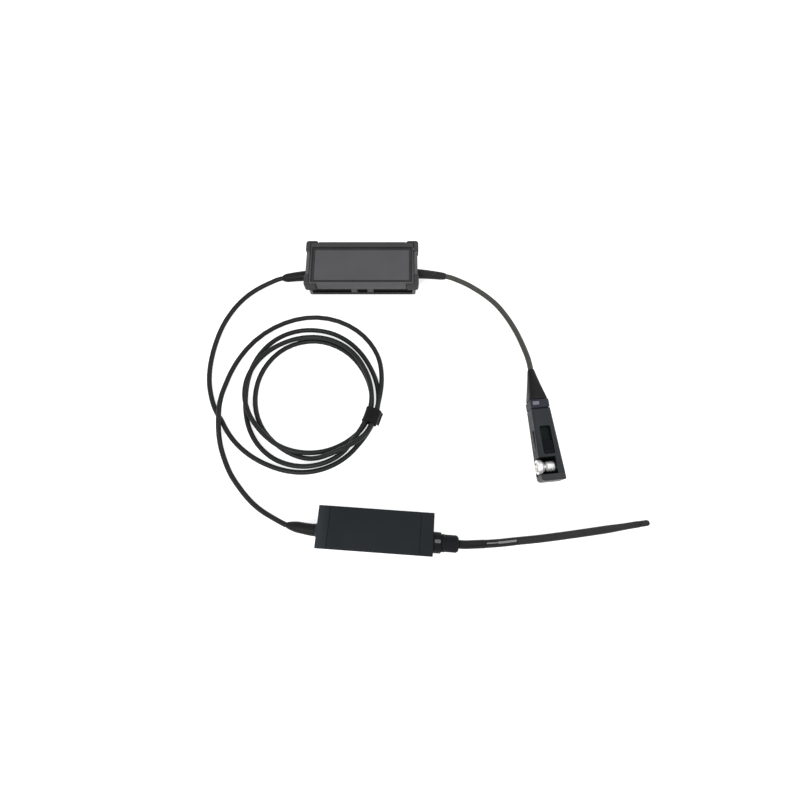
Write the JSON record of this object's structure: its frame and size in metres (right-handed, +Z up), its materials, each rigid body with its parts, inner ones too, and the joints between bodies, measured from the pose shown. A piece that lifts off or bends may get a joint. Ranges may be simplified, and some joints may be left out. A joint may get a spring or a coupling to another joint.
{
  "type": "oscilloscope probe",
  "caption": "Isolated oscilloscope probe: receiver box, scope plug with bayonet ring on a short lead, coiled cable with a tie, sensor head and a screw-on tip lead.",
  "frame": {"origin": "middle of the underside of the receiver box, on the surface the probe lies on", "axes": "+Z up; +X along the receiver box towards the scope plug's lead; -Y from the receiver box towards the sensor head"},
  "size_m": [0.4242, 0.3175, 0.025],
  "materials": {
    "charcoal": "satin",
    "black": "satin",
    "label": "satin",
    "bumper": "matte",
    "board": "satin",
    "steel": "brushed",
    "relief": "matte",
    "head_shell": "satin",
    "gold": "polished",
    "mark": "satin",
    "nut": "satin",
    "nickel": "satin",
    "cable": "satin",
    "lead": "satin",
    "label_sleeve": "satin",
    "long_sleeve": "satin",
    "plug_shell": "satin",
    "collar": "satin",
    "window": "gloss",
    "tie": "woven"
  },
  "bodies": {
    "probe": {"receiver_top_shell": "charcoal", "receiver_base_shell": "black", "receiver_label_plate": "label", "receiver_bumper_left": "bumper", "receiver_bumper_right": "bumper", "receiver_board": "board", "receiver_optical_module": "steel", "receiver_shield_can": "steel", "receiver_screw_1": "steel", "receiver_screw_2": "steel", "receiver_screw_3": "steel", "receiver_screw_4": "steel", "receiver_relief_left": "relief", "receiver_relief_right": "relief", "head_sleeve": "head_shell", "head_cap_left": "head_shell", "head_cap_right": "head_shell", "head_relief": "relief", "head_board": "board", "head_optical_module": "steel", "head_jack": "gold", "head_index_ring": "black", "head_index_mark": "mark", "head_screw_left_1": "steel", "head_screw_left_2": "steel", "head_screw_right_1": "steel", "head_screw_right_2": "steel", "tip_ferrule": "nickel", "tip_cable": "cable", "tip_boot": "relief", "tip_label_sleeve": "label_sleeve", "tip_long_sleeve": "long_sleeve", "tip_connector": "black", "tip_pin": "gold", "plug_boot": "relief", "plug_collar": "collar", "plug_window": "window", "plug_upper_shell": "plug_shell", "plug_lower_shell": "plug_shell", "bayonet_body": "nickel", "bayonet_pin": "gold", "contact_block": "black", "plug_board": "board", "plug_screw_1": "steel", "plug_screw_2": "steel", "cable_coil": "cable", "cable_lead_in": "cable", "cable_lead_out": "cable", "scope_lead": "lead", "cable_tie": "tie"},
    "coupling_nut": {"coupling_nut": "nut"},
    "slider": {"plug_slider": "black"},
    "bayonet": {"bayonet_ring": "nickel"},
    "contact_1": {"contact_pin_1": "gold"},
    "contact_2": {"contact_pin_2": "gold"},
    "contact_3": {"contact_pin_3": "gold"},
    "contact_4": {"contact_pin_4": "gold"}
  },
  "joints": [
    {"name": "coupling_nut_turn", "type": "hinge", "parent": "probe", "child": "coupling_nut", "pos_m": [0.08489, -0.2795, 0.011], "axis": [0.9976, -0.0689, 0], "continuous": true},
    {"name": "slider_slide", "type": "slide", "parent": "probe", "child": "slider", "axis": [-0.0958, 0.9954, 0], "range_m": [0, 0.013], "stiffness_N_per_m": 120},
    {"name": "bayonet_turn", "type": "hinge", "parent": "probe", "child": "bayonet", "pos_m": [0.18012, -0.21015, 0.009], "axis": [0.9954, 0.0958, 0], "range_deg": [0, 45]},
    {"name": "contact_1_press", "type": "slide", "parent": "probe", "child": "contact_1", "axis": [0.9954, 0.0958, 0], "range_m": [0, 0.0005], "stiffness_N_per_m": 300},
    {"name": "contact_2_press", "type": "slide", "parent": "probe", "child": "contact_2", "axis": [0.9954, 0.0958, 0], "range_m": [0, 0.0005], "stiffness_N_per_m": 300},
    {"name": "contact_3_press", "type": "slide", "parent": "probe", "child": "contact_3", "axis": [0.9954, 0.0958, 0], "range_m": [0, 0.0005], "stiffness_N_per_m": 300},
    {"name": "contact_4_press", "type": "slide", "parent": "probe", "child": "contact_4", "axis": [0.9954, 0.0958, 0], "range_m": [0, 0.0005], "stiffness_N_per_m": 300}
  ],
  "couplings": [
    {"joint": "bayonet_turn", "follows": "slider_slide", "rad_per_m": 60.4}
  ]
}
